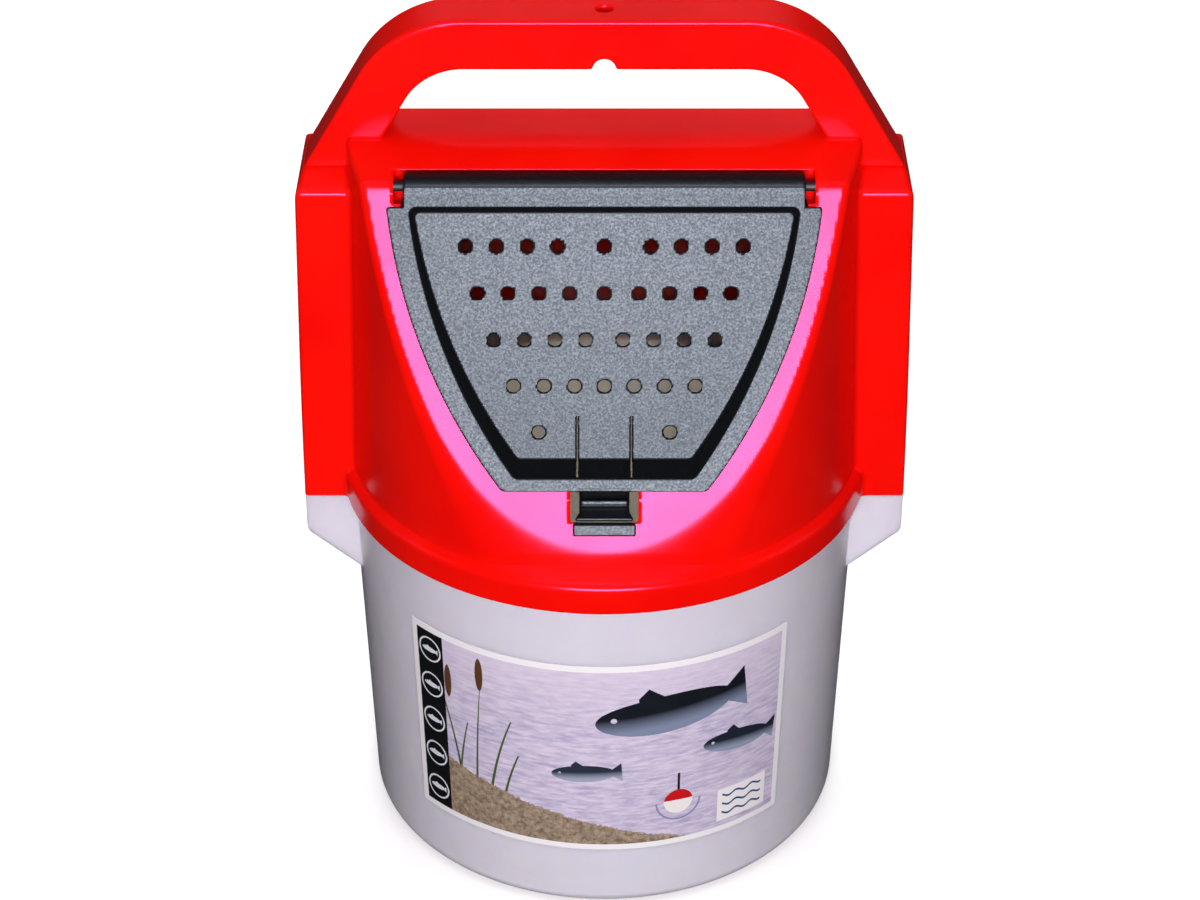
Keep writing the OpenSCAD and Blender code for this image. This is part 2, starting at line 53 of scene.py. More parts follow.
def add_node(material, kind, settings=None, **links):
    """Adds a node with its settings, and links its inputs. A name in links has _ for a space in
    the input's name, or is i and the input's place. A number given as a link is set on the input."""
    tree = material.node_tree
    made = tree.nodes.new(kind)
    for key, value in (settings or {}).items():
        if key in made.inputs:
            made.inputs[key].default_value = value
        else:
            setattr(made, key, value)
    for key, source in links.items():
        place = int(key[1:]) if key[1:].isdigit() else key.replace("_", " ")
        if isinstance(source, (int, float)):
            made.inputs[place].default_value = source
        else:
            tree.links.new(getattr(source, "socket", source), made.inputs[place])
    return made


class Amount:
    """A number that a material works out at each point of the surface. Sums of them add math nodes."""

    def __init__(self, material, socket):
        self.material, self.socket = material, socket

    def work(self, operation, *others):
        terms = {f"i{place}": term for place, term in enumerate((self, *others))}
        made = add_node(self.material, "ShaderNodeMath", {"operation": operation}, **terms)
        return Amount(self.material, made.outputs[0])

    def __add__(self, other):
        return self.work("ADD", other)

    def __sub__(self, other):
        return self.work("SUBTRACT", other)

    def __mul__(self, other):
        return self.work("MULTIPLY", other)

    def __truediv__(self, other):
        return self.work("DIVIDE", other)

    def __lt__(self, other):
        return self.work("LESS_THAN", other)

    def __gt__(self, other):
        return self.work("GREATER_THAN", other)

    def __and__(self, other):
        return self.work("MINIMUM", other)

    def __or__(self, other):
        return self.work("MAXIMUM", other)

    def __abs__(self):
        return self.work("ABSOLUTE")

    def from_here(self, other):
        """How far a point lies from where both amounts are 0."""
        return (self * self + other * other).work("SQRT")


def new_material(name, **shader):
    """A material whose Principled shader has these values on its own sockets."""
    material = bpy.data.materials.new(name)
    material.use_nodes = True
    body = material.node_tree.nodes["Principled BSDF"]
    for key, value in shader.items():
        body.inputs[key.replace("_", " ")].default_value = value
    return material, body


def per_mm(size):
    """A texture's scale for features of this size in millimetres."""
    return 1000.0 / size


def noise(material, size, detail=2.0, roughness=0.5, vector=None, **settings):
    """Soft noise with features of about size millimetres."""
    where = vector or add_node(material, "ShaderNodeTexCoord").outputs["Object"]
    made = add_node(
        material, "ShaderNodeTexNoise",
        {"Scale": per_mm(size), "Detail": detail, "Roughness": roughness, **settings},
        Vector=where,
    )
    return Amount(material, made.outputs["Fac"])


def spread(amount, low, high, to_low, to_high):
    """Moves an amount from one range to another, and keeps it there."""
    made = add_node(
        amount.material, "ShaderNodeMapRange",
        {"From Min": low, "From Max": high, "To Min": to_low, "To Max": to_high}, Value=amount,
    )
    return Amount(amount.material, made.outputs[0])


def tint(material, share, under, over):
    """A colour that goes from under to over as share goes from 0 to 1. Both are hex colours or sockets."""
    made = add_node(material, "ShaderNodeMix", {"data_type": "RGBA"})
    factor, a, b = made.inputs[0], made.inputs[6], made.inputs[7]
    material.node_tree.links.new(share.socket, factor)
    for socket, colour in ((a, under), (b, over)):
        if isinstance(colour, str):
            socket.default_value = linear(colour)
        else:
            material.node_tree.links.new(colour, socket)
    return made.outputs[2]


def relief(material, body, *layers):
    """Bumps, each (height, depth in millimetres), one on top of the other."""
    below = None
    for height, depth in layers:
        links = {"Height": height}
        if below:
            links["Normal"] = below
        below = add_node(
            material, "ShaderNodeBump", {"Strength": 1.0, "Distance": depth * MM}, **links
        ).outputs[0]
    material.node_tree.links.new(below, body.inputs["Normal"])


def polyethylene_red():
    """Injection moulded polyethylene, dyed red through: glossy and saturated, with a faint orange
    peel of 3 mm and long shallow sinks of 45 mm where the walls cooled. Its shine is pink."""
    material, body = new_material(
        "Moulded_Polyethylene_Red", IOR=1.51, Specular_IOR_Level=0.46, Specular_Tint=linear("#ffa0ff")
    )
    links = material.node_tree.links
    flow = noise(material, 60, 2.0)
    colour = tint(material, spread(flow, 0.35, 0.65, 0, 1), "#f00a02", "#fa1104")
    links.new(colour, body.inputs["Base Color"])
    cloud = noise(material, 18, 3.0)
    links.new(spread(cloud, 0.3, 0.7, 0.2, 0.24).socket, body.inputs["Roughness"])
    relief(
        material, body,
        (noise(material, 45, 1.0), 0.12),
        (noise(material, 3.2, 1.0), 0.008),
        (noise(material, 0.7, 2.0), 0.001),
    )
    return material


def polyethylene_natural():
    """Natural high density polyethylene, injection moulded: milky, waxy and open to light, so that its
    shading is soft and daylight shows inside, with faint clouds from the flow and a fine satin skin."""
    material, body = new_material(
        "Natural_Polyethylene", IOR=1.54, Subsurface_Weight=0.8, Subsurface_Scale=0.012
    )
    body.inputs["Subsurface Radius"].default_value = (1.0, 0.9, 0.65)
    links = material.node_tree.links
    cloud = noise(material, 35, 3.0)
    links.new(tint(material, spread(cloud, 0.35, 0.65, 0, 1), "#f3eaee", "#f8f0f3"), body.inputs["Base Color"])
    satin = noise(material, 6, 3.0)
    links.new(spread(satin, 0.3, 0.7, 0.36, 0.48).socket, body.inputs["Roughness"])
    relief(material, body, (noise(material, 28, 1.0), 0.12), (noise(material, 1.4, 2.0), 0.004))
    return material


def polypropylene_black():
    """Black polypropylene from a spark eroded mould. Its grain, 0.3 mm in life, is drawn at 0.5 to 0.9 mm
    so that it shows: bright light turns it to a speckled mid grey, and the tray's walls stay dark."""
    material, body = new_material(
        "Grained_Polypropylene_Black", IOR=1.49, Specular_IOR_Level=0.7, Specular_Tint=linear("#e3f4ff")
    )
    links = material.node_tree.links
    grain = noise(material, 0.5, 2.0, 0.6)
    peaks = noise(material, 0.9, 1.0)
    colour = tint(material, spread(grain, 0.42, 0.68, 0, 1), "#050506", "#141518")
    links.new(colour, body.inputs["Base Color"])
    links.new(spread(peaks, 0.3, 0.7, 0.34, 0.48).socket, body.inputs["Roughness"])
    relief(material, body, (peaks, 0.02), (grain, 0.014))
    return material


def drawn_stainless():
    """Drawn stainless steel, dulled by water: a satin grey, with fine lines along it from the die,
    0.05 mm apart in life and drawn at 0.25 mm so that they show."""
    material, body = new_material("Drawn_Stainless_Steel", Base_Color=linear("#55575b"), Metallic=1.0)
    where = add_node(material, "ShaderNodeTexCoord").outputs["Object"]
    along = add_node(material, "ShaderNodeMapping", {"Scale": (0.02, 1, 1)}, Vector=where).outputs[0]
    lines = noise(material, 0.25, 2.0, 0.6, along)
    material.node_tree.links.new(spread(lines, 0.3, 0.7, 0.5, 0.62).socket, body.inputs["Roughness"])
    relief(material, body, (lines, 0.01))
    return material


def foam_core():
    """Closed cell polyethylene foam: matt, cream, with cells of 1 mm."""
    material, body = new_material("Closed_Cell_Foam", Roughness=0.85, IOR=1.4)
    where = add_node(material, "ShaderNodeTexCoord").outputs["Object"]
    cells = add_node(material, "ShaderNodeTexVoronoi", {"Scale": per_mm(1.0)}, Vector=where)
    wall = Amount(material, cells.outputs["Distance"])
    links = material.node_tree.links
    links.new(tint(material, spread(wall, 0, 0.6, 0, 1), "#d9d0b8", "#efe9d8"), body.inputs["Base Color"])
    relief(material, body, (wall, 0.15))
    return material


# The label, in millimetres: its place on the bucket, and the design on it. Places in the design are
# measured round from the middle and up from the lower edge.
LABEL_R, LABEL_LOW, LABEL_HALF, LABEL_H, LABEL_TURN = 109.4, 33.2, 89.0, 101.7, math.radians(-1.6)
STRIP_EDGE, STRIP_MIDDLE, BORDER, BUBBLE_STEP, BUBBLE_R = -71.0, -78.6, 3.0, 19.14, 6.0
# Each reed: its foot, height, bend and thickness. Each reed mace: its place and height.
REEDS = (
    (-62, 74, 0.0022, 0.9), (-56, 84, -0.0006, 0.8), (-50, 66, -0.0028, 0.9), (-66, 58, -0.002, 0.8),
    (-44, 48, -0.004, 0.8),
)
REED_MACES = ((-68.9, 77), (-52.4, 87))
# Each minnow: its place, length, lean in degrees, and the colours of its back and belly.
MINNOWS = (
    ((30, 74), 62, 7, "#12161f", "#7f8ba3"),
    ((64, 50), 34, -6, "#1d2431", "#8f9bb0"),
    ((-6, 43), 28, 4, "#27303f", "#9aa4b8"),
)
FLOAT, FLOAT_R, RING_R, STEM_TOP = (36, 24), 6.6, 10.0, 40
PANEL, PANEL_HALF, WAVES_HALF, WAVE_STEP = (68, 15), (13, 9), (10.5, 7), 5.0


def minnow(u, w, place, length, lean):
    """Where a small fish is printed, and how far up its side a point lies, as a share of its length."""
    c, s = math.cos(math.radians(lean)), math.sin(math.radians(lean))
    du, dw = (u - place[0]) / length, (w - place[1]) / length
    along, up = du * c + dw * s, dw * c - du * s
    trunk = (along * 2).from_here(up * 6.2) < 1
    tail = (along > 0.4) & (along < 0.6) & (abs(up) < (along - 0.36) * 0.75)
    fin = (abs(along + 0.02) < 0.16) & (up > 0.1) & (up < abs(along + 0.1) * -0.9 + 0.25)
    eye = (along + 0.37).from_here(up - 0.02) > 0.022
    return (trunk | tail | fin) & eye, up


def printed_film():
    """Offset print on white polypropylene film under a satin laminate. The design is a plain pond: ripples,
    a sand bank with reeds, a float and minnows, with a dark strip of bubbles at the side."""
    material, body = new_material("Printed_Film", IOR=1.5)
    where = add_node(material, "ShaderNodeTexCoord").outputs["Object"]
    parts = add_node(material, "ShaderNodeSeparateXYZ", Vector=where)
    x, y, z = (Amount(material, parts.outputs[k]) for k in range(3))
    u = (x.work("ARCTAN2", y * -1) - LABEL_TURN) * LABEL_R
    w = z / MM - LABEL_LOW
    flat = add_node(material, "ShaderNodeCombineXYZ", X=u * MM, Y=w * (MM * 5))
    ripple = noise(material, 9.0, 4.0, 0.62, flat.outputs[0])
    swell = noise(material, 40.0, 1.0, 0.5, flat.outputs[0])
    grit = noise(material, 2.2, 4.0, 0.7)
    colour = tint(material, spread(ripple, 0.36, 0.64, 0, 1), "#a9a3c2", "#dcd3e4")
    colour = tint(material, spread(swell, 0.35, 0.7, 0, 0.5) | spread(w, 55, 100, 0, 0.75), colour, "#e0d6e4")
    for place, height, bend, thick in REEDS:
        lean = abs(u - place + w * w * bend) < (w * -0.008 + thick)
        colour = tint(material, lean & (w < height), colour, "#4d5a33")
    for place, height in REED_MACES:
        head = (u - place).from_here((w - height) * 0.22) < 1.9
        colour = tint(material, head, colour, "#5a3a22")
    bank = spread(u, -72, 60, 31, -6) + grit * 7
    pebble = tint(material, spread(grit, 0.35, 0.65, 0, 1), "#6f6250", "#b39f88")
    colour = tint(material, w < bank, colour, pebble)
    for place, length, lean, back, belly in MINNOWS:
        here, up = minnow(u, w, place, length, lean)
        colour = tint(material, here, colour, tint(material, spread(up, 0.03, -0.1, 0, 1), back, belly))
    around, water = FLOAT
    away = (u - around).from_here(w - water)
    ball = tint(material, (w > water + 0.8), "#f2efe9", "#c8161a")
    colour = tint(material, (abs(u - around) < 0.55) & (w > water) & (w < STEM_TOP), colour, "#16181c")
    colour = tint(material, away < FLOAT_R, colour, ball)
    ring = abs(abs(away - RING_R) - 0.1) < 0.35
    colour = tint(material, ring & (w < water), colour, "#8f8aad")
    beside, above = abs(u - PANEL[0]), abs(w - PANEL[1])
    colour = tint(material, (beside < PANEL_HALF[0]) & (above < PANEL_HALF[1]), colour, "#f4f3f1")
    wave = (u * 0.75).work("SINE") * 0.8
    lines = abs((w - PANEL[1] + wave).work("WRAP", WAVE_STEP / 2, -WAVE_STEP / 2)) < 0.55
    waves = lines & (beside < WAVES_HALF[0]) & (above < WAVES_HALF[1])
    colour = tint(material, waves, colour, "#2a4c7c")
    strip = u < STRIP_EDGE
    colour = tint(material, strip, colour, "#0e0f12")
    step = (w - BORDER - BUBBLE_STEP / 2).work("WRAP", BUBBLE_STEP / 2, -BUBBLE_STEP / 2)
    beside = u - STRIP_MIDDLE
    bubble = abs(beside.from_here(step) - BUBBLE_R) < 0.42
    small, _ = minnow(beside, step, (-0.3, 0), 8.2, 0)
    colour = tint(material, strip & (bubble | small), colour, "#dfe6ea")
    border = (abs(u) > LABEL_HALF - BORDER) | (w < BORDER) | (w > LABEL_H - BORDER)
    colour = tint(material, border, colour, "#f5f5f4")
    links = material.node_tree.links
    links.new(colour, body.inputs["Base Color"])
    links.new(spread(noise(material, 9, 2.0), 0.3, 0.7, 0.34, 0.44).socket, body.inputs["Roughness"])
    relief(material, body, (noise(material, 22, 1.0), 0.05), (noise(material, 1.0, 2.0), 0.002))
    return material


red = polyethylene_red()
natural = polyethylene_natural()
black = polypropylene_black()
steel = drawn_stainless()
film = printed_film()
foam = foam_core()

finishes = {
    "bucket_shell": natural,
    "label": film,
    "top_housing": red,
    "handle": red,
    "hinge_rod": steel,
    "door_panel": black,
    "latch_lever": black,
    "left_float": foam,
    "right_float": foam,
    "ear_screws": steel,
    "handle_screws": steel,
}
for node, material in finishes.items():
    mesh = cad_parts[node].data
    for place in range(len(mesh.materials)):
        mesh.materials[place] = material


# Mouldings
#
# Four pieces are drawn as solids with rounded edges. A function of places in millimetres gives a
# negative number inside the solid and a positive one outside, about as far as the surface is.

# The round wall, the skirt that goes over the bucket's rim, and the ledge that the rim stops at.
RIM_R, SEAM_Z, WALL, LEDGE_Z, RIM_ROOM = 111.2, 165.0, 3.0, 175.3, 0.3
SKIRT_R, SKIRT_H, SKIRT_STEP, SKIRT_SLOPE, DRAFT = 115.0, 15.7, 3.4, math.radians(25), 4.6
SKIRT_TOP = SEAM_Z + SKIRT_H

# The flat front, and its edge with the round wall: how softly it is rounded at places up the front.
FRONT_Y, FRONT_Z, FRONT_ANGLE = 104.0, 187.8, math.radians(65.4)
SOFT_PLACES, SOFT_SIZES = (-8, 0, 26, 50, 90), (11.0, 8.0, 4.7, 3.0, 2.3)

# The roof, its ridges and the back.
ROOF_Z, ROOF_ANGLE, ROOF_BACK, BACK_ANGLE, RIDGE_Y = 331.97, math.radians(12.4), 3.0, math.radians(57.5), 12.5

# The columns over the ears, and the handle's legs on them.
EAR_Y, COLUMN_X, COLUMN_TOP, COLUMN_FOOT, COLUMN_ROOF = 26.8, 130.8, 318.7, 173.0, 8.0
COLUMN_LEAN, SHOULDER_ANGLE = math.radians(1.65), math.radians(17)
LEG_ANGLE, LEG_FOOT_X = math.radians(59.7), 123.8
BAR_HALF, BEND_Z, BEND_MID_R, BAND_HALF = 57.4, 334.8, 38.3, 10.9
ROPE_HOLE_R, NOTCH_Z, NOTCH_R = 3.55, 362.2, 4.8

# The tenons, sockets and screws.
TENON_X, TENON_W, TENON_D, TENON_H, SOCKET_ROOM = 117.95, 8.0, 16.0, 19.0, 0.3
HANDLE_SCREW_Z, HANDLE_BOSS_Y, HANDLE_HEAD_Y = 306.2, 8.6, 24.2
EAR_SCREW_X, EAR_SCREW_Y, EAR_BOSS_TOP, EAR_HOLE_TOP = 119.5, 19.6, 184.0, 180.0
BOSS_R, SCREW_HOLE_R, HEAD_R = 5.0, 1.75, 3.6

# The hinge: its axis, the barrel on it and the trough round it. Places are up the front and out of it.
HINGE_V, HINGE_N, BARREL_R, BARREL_HALF, BORE_R = 150.6, -3.2, 5.5, 81.0, 2.16
TROUGH_V, TROUGH_HALF, TROUGH_LOW_SIDE, TROUGH_HIGH_SIDE, TROUGH_R = 150.35, 85.1, 6.75, 7.25, 7.4
BLOCK_LOW, BLOCK_HIGH, BLOCK_DEPTH, CHEEK = 140.4, 160.1, 13.5, 10.0

# The window under the tray, and the notch for a thumb.
WINDOW = (82.4, 145.8, 40.1, 28.3, 7.65)
WINDOW_DEPTH, NOTCH_HALF, NOTCH_LOW, NOTCH_HIGH, NOTCH_DEPTH = 15.9, 13.9, 13.0, 40.0, 7.0

# The door: its flange, the tilted floor of its tray, the rows of holes and the two slots.
FLANGE, FLANGE_N, FLANGE_HALF, LEAF_LOW = (88, 142.4, 42, 26.4, 8.5), 1.3, 1.0, 141.0
FLOOR_HIGH, FLOOR_N, FLOOR_TILT, TRAY_WALL, TRAY_TOP = 140.4, -1.0, math.radians(3.706), 2.0, 1.5
HOLE_R, FIRST_ROW, ROW_STEP = 2.7, 14.2, 19.2
ROWS = (
    (0, 18.8, 31.3, 43.8, 56.3), (0, 14.0, 26.5, 39.0, 51.5), (7.6, 20.1, 32.6, 45.1),
    (0, 12.2, 24.7, 37.2), (26.9,),
)
SLOT_X, SLOT_V, SLOT_HALF = 11.1, 44.05, 12.05

# The latch: the leg down from the flange, the bend that flexes, the lever, and its lip for a thumb.
LEG_TOP, LEG_HALF, BEND_V, BEND_N, BEND_R = (27.2, 1.3), 0.8, 21.5, -8.0, 1.3
LEVER_END, LEVER_HALF, LATCH_HALF, LIP_HALF, SOCKET_R = (14.8, 0.0), 0.85, 10.3, 12.9, 2.46
MOUTH_TURN, MOUTH_ANGLE, MOUTH_REACH, MOUTH_R = math.radians(64.5), math.radians(42), 3.3, 1.36


def both(a, b, r):
    """What lies in both solids, with the edge where they meet rounded by r."""
    return np.minimum(-r, np.maximum(a, b)) + np.hypot(np.maximum(a + r, 0), np.maximum(b + r, 0))


def either(a, b, r):
    """What lies in either solid, with a fillet of r in the corner between them."""
    return -both(-a, -b, r)


def up_front(y, z):
    """How far up the flat front a point lies, and how far out of it."""
    dy, dz = y + FRONT_Y, z - FRONT_Z
    c, s = math.cos(FRONT_ANGLE), math.sin(FRONT_ANGLE)
    return dy * c + dz * s, dz * c - dy * s


def slope(across, up, angle):
    """A half space under a face that falls at an angle as across grows."""
    return up * math.cos(angle) + across * math.sin(angle)


def rod(a, b, r):
    """A rod of radius r along the axis that a and b are measured from."""
    return np.hypot(a, b) - r


def wall_r(z):
    """Radius of the round wall, which leans in from the skirt up to the roof."""
    return RIM_R - DRAFT * np.maximum(z - SKIRT_TOP, 0) / (ROOF_Z - SKIRT_TOP)


def housing_blank(x, y, z, inset, edge):
    """The round wall under the flat front, the roof and the back. Its edge with the front is
    softest at the foot."""
    up = z - ROOF_Z
    v, out = up_front(y, z)
    lid = both(slope(-y - RIDGE_Y, up, ROOF_ANGLE), up, r=edge)
    lid = both(both(lid, out, r=edge), slope(y - RIDGE_Y - ROOF_BACK, up, BACK_ANGLE), r=edge)
    soft = np.interp(v, SOFT_PLACES, SOFT_SIZES)
    return both(np.hypot(x, y) - wall_r(z) + inset, lid + inset, r=soft)


def skirt(round_r, z):
    """The skirt over the bucket's rim: a step all round, and a gentle slope from it in to the flat front."""
    step = (round_r - SKIRT_R) * SKIRT_STEP + (z - SKIRT_TOP + SKIRT_STEP) * (SKIRT_R - RIM_R)
    step = step / math.hypot(SKIRT_STEP, SKIRT_R - RIM_R)
    sill = slope(round_r - RIM_R, z - SKIRT_TOP, SKIRT_SLOPE)
    return both(both(both(round_r - SKIRT_R, step, r=1.0), sill, r=0.8), SEAM_Z - z, r=0.8)


def column_lean(x, z):
    """The outer side of a column, which leans in towards the top."""
    return (x - COLUMN_X) * math.cos(COLUMN_LEAN) + (z - COLUMN_FOOT) * math.sin(COLUMN_LEAN)


def column(x, y, z):
    """A column, with its shoulders before and behind the foot of the handle."""
    side = both(x - COLUMN_X, column_lean(x, z), r=2.0)
    side = both(side, slope(x - LEG_FOOT_X, z - COLUMN_TOP, LEG_ANGLE), r=1.5)
    top = both(z - COLUMN_TOP, slope(y - RIDGE_Y, z - COLUMN_TOP, SHOULDER_ANGLE), r=1.0)
    block = both(both(y - EAR_Y, top, r=1.8), side, r=1.5)
    return np.maximum(block, wall_r(z) - 1 - np.hypot(x, y))


def column_space(x, y, z):
    """The room for the float in a column, outside the round wall."""
    space = np.maximum(np.maximum(column_lean(x, z), y - EAR_Y) + WALL, z - COLUMN_TOP + COLUMN_ROOF)
    beside = np.minimum(SKIRT_R - np.hypot(x, y), SKIRT_TOP - z)
    return np.maximum(space, np.maximum(wall_r(z) - np.hypot(x, y), beside))


def shield(x, v, top_half, high, low_half, low, bulge, corner=2.0):
    """The outline of the door, its tray or its window: narrower at the foot, between two sides that bulge."""
    half = np.hypot(top_half - low_half, high - low) / 2
    r = (half * half + bulge * bulge) / (2 * bulge)
    out_x, out_v = (high - low) / (2 * half), (low_half - top_half) / (2 * half)
    centre_x = (top_half + low_half) / 2 - out_x * (r - bulge)
    centre_v = (high + low) / 2 - out_v * (r - bulge)
    return both(np.hypot(x - centre_x, v - centre_v) - r, both(v - high, low - v, r=0.5), r=corner)


def front_cuts(x, v, n):
    """The trough of the hinge with its round floor, the window, and the notch for a thumb."""
    across = v - TROUGH_V
    floor = np.where(n > HINGE_N, -9.0, np.hypot(across - 0.5, n - HINGE_N) - TROUGH_R)
    sides = np.maximum(-TROUGH_LOW_SIDE - across, across - TROUGH_HIGH_SIDE)
    trough = both(np.maximum(sides, floor), x - TROUGH_HALF, r=0.6)
    window = np.maximum(shield(x, v, *WINDOW), -n - WINDOW_DEPTH)
    notch = both(both(x - NOTCH_HALF, NOTCH_LOW - v, r=1.0), np.abs(n) - NOTCH_DEPTH, r=0.1)
    return np.minimum(trough, np.minimum(window, np.maximum(notch, v - NOTCH_HIGH)))


def screw_cuts(x, y, z):
    """The handle's sockets and the holes of all six screws."""
    deep = np.abs(z - COLUMN_TOP) - TENON_H
    socket = np.maximum(np.abs(x - TENON_X) - TENON_W / 2, np.abs(y) - TENON_D / 2) - SOCKET_ROOM
    under = np.maximum(rod(x - EAR_SCREW_X, np.abs(y) - EAR_SCREW_Y, SCREW_HOLE_R), z - EAR_HOLE_TOP)
    driven = np.maximum(rod(x - TENON_X, z - HANDLE_SCREW_Z, SCREW_HOLE_R), -y)
    head = np.maximum(rod(x - TENON_X, z - HANDLE_SCREW_Z, HEAD_R), HANDLE_HEAD_Y - y)
    return np.minimum(np.maximum(socket, deep), np.minimum(under, np.minimum(driven, head)))


def top_housing(x, y, z):
    """The red housing, hollow, with its columns, trough, window, notch and the bosses inside."""
    x = np.abs(x)
    round_r = np.hypot(x, y)
    v, n = up_front(y, z)
    blank = housing_blank(x, y, z, 0, edge=1.5)
    outside = either(np.minimum(blank, skirt(round_r, z)), column(x, np.abs(y), z), r=2.0)
    outside = both(outside, SEAM_Z - z, r=0.8)
    hollow = np.maximum(housing_blank(x, y, z, WALL, edge=0.8), LEDGE_Z - z)
    hollow = np.minimum(hollow, np.maximum(round_r - RIM_R - RIM_ROOM, z - LEDGE_Z))
    hollow = np.minimum(hollow, column_space(x, np.abs(y), z))
    block = np.maximum(np.maximum(BLOCK_LOW - v, v - BLOCK_HIGH), -n - BLOCK_DEPTH)
    block = np.maximum(np.maximum(block, x - TROUGH_HALF - CHEEK), blank)
    bosses = np.minimum(
        np.maximum(rod(x - EAR_SCREW_X, np.abs(y) - EAR_SCREW_Y, BOSS_R), z - EAR_BOSS_TOP),
        np.maximum(rod(x - TENON_X, z - HANDLE_SCREW_Z, BOSS_R), HANDLE_BOSS_Y - y),
    )
    body = both(outside, -hollow, r=0.8)
    body = np.minimum(body, np.maximum(np.minimum(block, bosses), outside + 0.2))
    body = both(body, -front_cuts(x, v, n), r=0.3)
    return np.maximum(body, -screw_cuts(x, y, z))


def handle(x, y, z):
    """The carrying handle: a flat bar bent round two corners, with a tenon under each leg."""
    x = np.abs(x)
    dx, dz = x - BAR_HALF, z - BEND_Z
    c, s = math.cos(LEG_ANGLE), math.sin(LEG_ANGLE)
    on_leg = dx * c - dz * s > 0
    away = np.where(dx < 0, dz, np.where(on_leg, dx * s + dz * c, np.hypot(dx, dz)))
    band = both(np.abs(away - BEND_MID_R) - BAND_HALF, np.abs(y) - RIDGE_Y, r=1.6)
    band = np.maximum(band, COLUMN_TOP + 0.1 - z)
    band = np.maximum(band, -np.maximum(np.hypot(x, y) - wall_r(z) + 0.5, z - ROOF_Z + 0.3))
    tenon = np.maximum(np.abs(x - TENON_X) - TENON_W / 2, np.abs(y) - TENON_D / 2)
    tenon = np.maximum(tenon, np.abs(z - COLUMN_TOP + TENON_H / 2 - 1) - TENON_H / 2 - 1)
    solid = both(np.minimum(band, tenon), -np.maximum(rod(x, y, ROPE_HOLE_R), ROOF_Z - z), r=0.6)
    solid = both(solid, -rod(x, z - NOTCH_Z, NOTCH_R), r=1.0)
    return np.maximum(solid, -np.maximum(rod(x - TENON_X, z - HANDLE_SCREW_Z, SCREW_HOLE_R), -6 - y))


def floor_place(v, n):
    """How far a point lies above the floor of the door's tray, straight out of the front."""
    return n - FLOOR_N - (v - FLOOR_HIGH) * math.tan(FLOOR_TILT)


def tray(x, v, n, grow):
    """The hollow of the door's tray or, with a wall of grow, its outside: it narrows down to a tilted floor."""
    above = floor_place(v, n)
    down = np.clip((2.3 - n) / (2.3 - n + above), 0, 1.2)
    corner = np.where(v > 90, 3.0, 1.2)
    outline = shield(x, v, 79 - 2 * down, 142.4 - 2 * down, 36.7 - down, 31.7 + 6.8 * down, 7.65 - down, corner)
    return both(outline - grow, -above - grow, r=0.5)


def flat_bar(v, n, start, end, half):
    """A flat bar between two places, seen from its side."""
    dv, dn = end[0] - start[0], end[1] - start[1]
    t = np.clip(((v - start[0]) * dv + (n - start[1]) * dn) / (dv * dv + dn * dn), 0, 1)
    return np.hypot(v - start[0] - t * dv, n - start[1] - t * dn) - half


def door_panel(x, v, n):
    """The door: a flange round a perforated tray, with its hinge barrel and the leg of the latch."""
    x = np.abs(x)
    leaf = np.maximum(np.maximum(x - BARREL_HALF, LEAF_LOW - v), v - HINGE_V)
    plate = both(np.minimum(shield(x, v, *FLANGE, corner=1.2), leaf), np.abs(n - FLANGE_N) - FLANGE_HALF, r=0.4)
    barrel = both(rod(v - HINGE_V, n - HINGE_N, BARREL_R), x - BARREL_HALF, r=0.9)
    body = either(plate, barrel, r=0.6)
    body = either(body, both(tray(x, v, n, TRAY_WALL), n - TRAY_TOP, r=0.5), r=0.8)
    body = both(body, -tray(x, v, n, 0), r=0.4)
    up = (v - FLOOR_HIGH) * math.cos(FLOOR_TILT) + (n - FLOOR_N) * math.sin(FLOOR_TILT)
    holes = np.minimum.reduce([
        rod(x - hole, up + FIRST_ROW + ROW_STEP * row, HOLE_R)
        for row, places in enumerate(ROWS) for hole in places
    ])
    body = both(body, -np.maximum(holes, n - 1), r=0.12)
    narrow = np.interp(floor_place(v, n), (-TRAY_WALL, 0), (0.15, 0.35))
    slots = np.maximum(np.abs(x - SLOT_X) - narrow, np.abs(v - SLOT_V) - SLOT_HALF)
    body = both(body, -np.maximum(slots, n - 1), r=0.12)
    leg = np.minimum(flat_bar(v, n, LEG_TOP, (BEND_V, BEND_N), LEG_HALF), rod(v - BEND_V, n - BEND_N, BEND_R))
    leg = both(leg, x - LATCH_HALF, r=0.4)
    return np.maximum(either(body, leg, r=0.8), -rod(v - HINGE_V, n - HINGE_N, BORE_R))


def latch_lever(x, v, n):
    """The snap lever: a socket round the bend, a bar with its bead, and the lip for a thumb."""
    x = np.abs(x)
    lever = flat_bar(v, n, (BEND_V, BEND_N), LEVER_END, LEVER_HALF)
    bead = flat_bar(v, n, (18.1, -3.8), (14.3, -3.5), 0.75)
    lip = both(np.abs(v - 11.1) - 3.2, np.abs(n - 1.4) - 0.8, r=0.4)
    lip = both(lip, (v - 12.6) * 0.84 + (n - 2.2) * 0.54, r=0.3)
    ridge = both(both(np.abs(v - 20.9) - 1.0, np.abs(n + 4.6) - 1.0, r=0.3), x - 9.6, r=0.3)
    body = either(either(lever, rod(v - BEND_V, n - BEND_N, SOCKET_R), r=0.8), np.minimum(bead, ridge), r=0.5)
    width = np.interp(v, (12.5, 17), (LIP_HALF, LATCH_HALF))
    body = both(either(body, lip, r=0.8), x - width, r=0.7)
    dv, dn = v - BEND_V, n - BEND_N
    toward = dv * math.cos(MOUTH_TURN) + dn * math.sin(MOUTH_TURN)
    beside = np.abs(dn * math.cos(MOUTH_TURN) - dv * math.sin(MOUTH_TURN))
    mouth = np.maximum(beside * math.cos(MOUTH_ANGLE) - toward * math.sin(MOUTH_ANGLE), toward - MOUTH_REACH)
    return np.maximum(body, -np.minimum(mouth, rod(dv, dn, MOUTH_R)))


